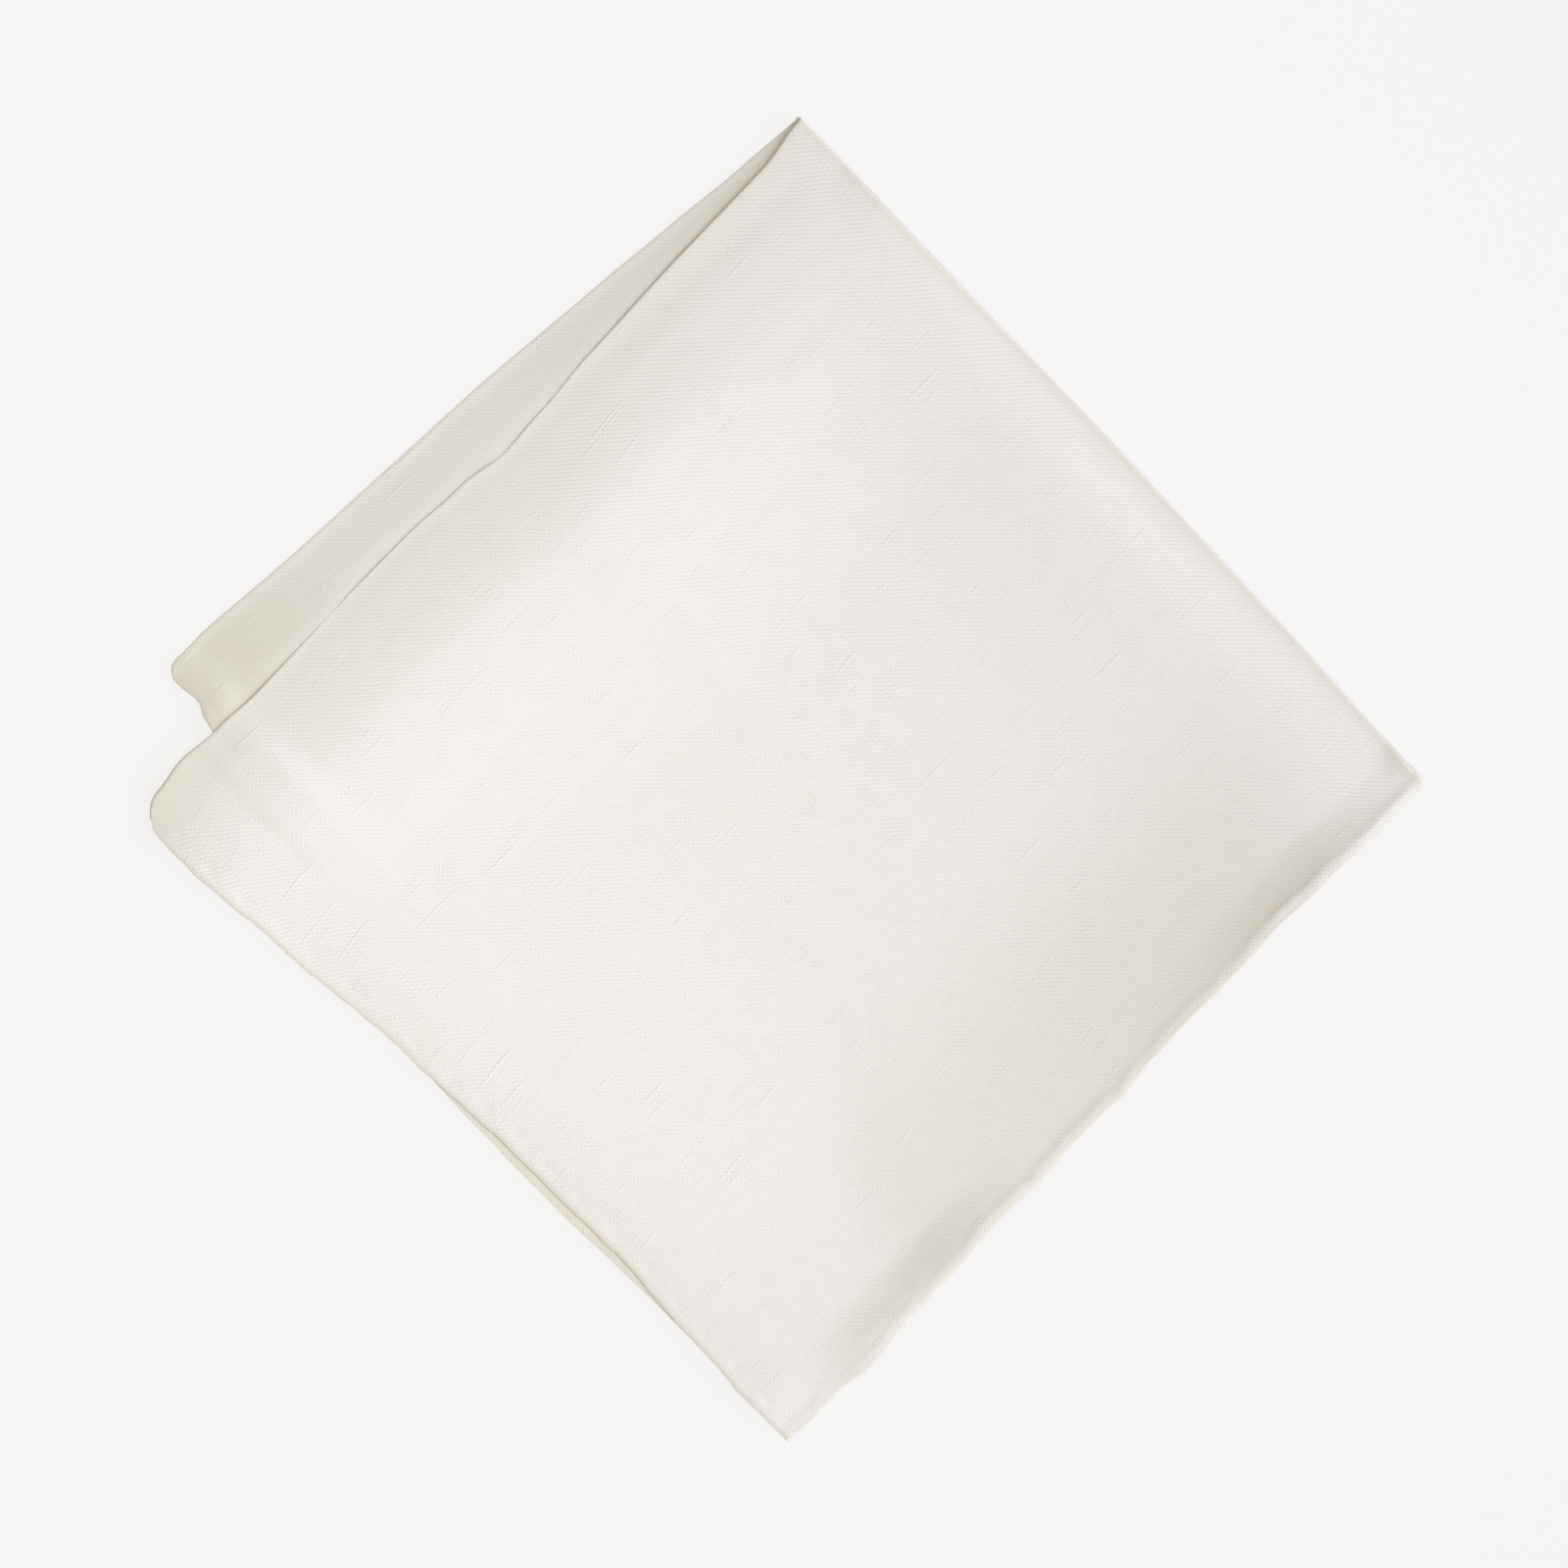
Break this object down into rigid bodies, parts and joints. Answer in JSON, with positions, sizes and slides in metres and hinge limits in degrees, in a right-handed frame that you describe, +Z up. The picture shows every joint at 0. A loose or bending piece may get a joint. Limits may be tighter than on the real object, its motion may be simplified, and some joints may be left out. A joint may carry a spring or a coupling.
{
  "type": "folded pocket square",
  "caption": "Off-white linen pocket square with hand-rolled hems, folded in quarters and lying flat, its folded edges slightly fanned out",
  "frame": {"origin": "centre of the footprint, on the surface the cloth lies on", "axes": "+Z is up, through the four layers; +X points to the second fold's crease and -X to the side hems; +Y points to the first fold's edges and -Y to the end hems"},
  "size_m": [0.1758, 0.1826, 0.0082],
  "materials": {
    "linen": "matt plain-weave linen with fine slubs"
  },
  "bodies": {
    "root": {"cloth": "linen"}
  },
  "joints": []
}
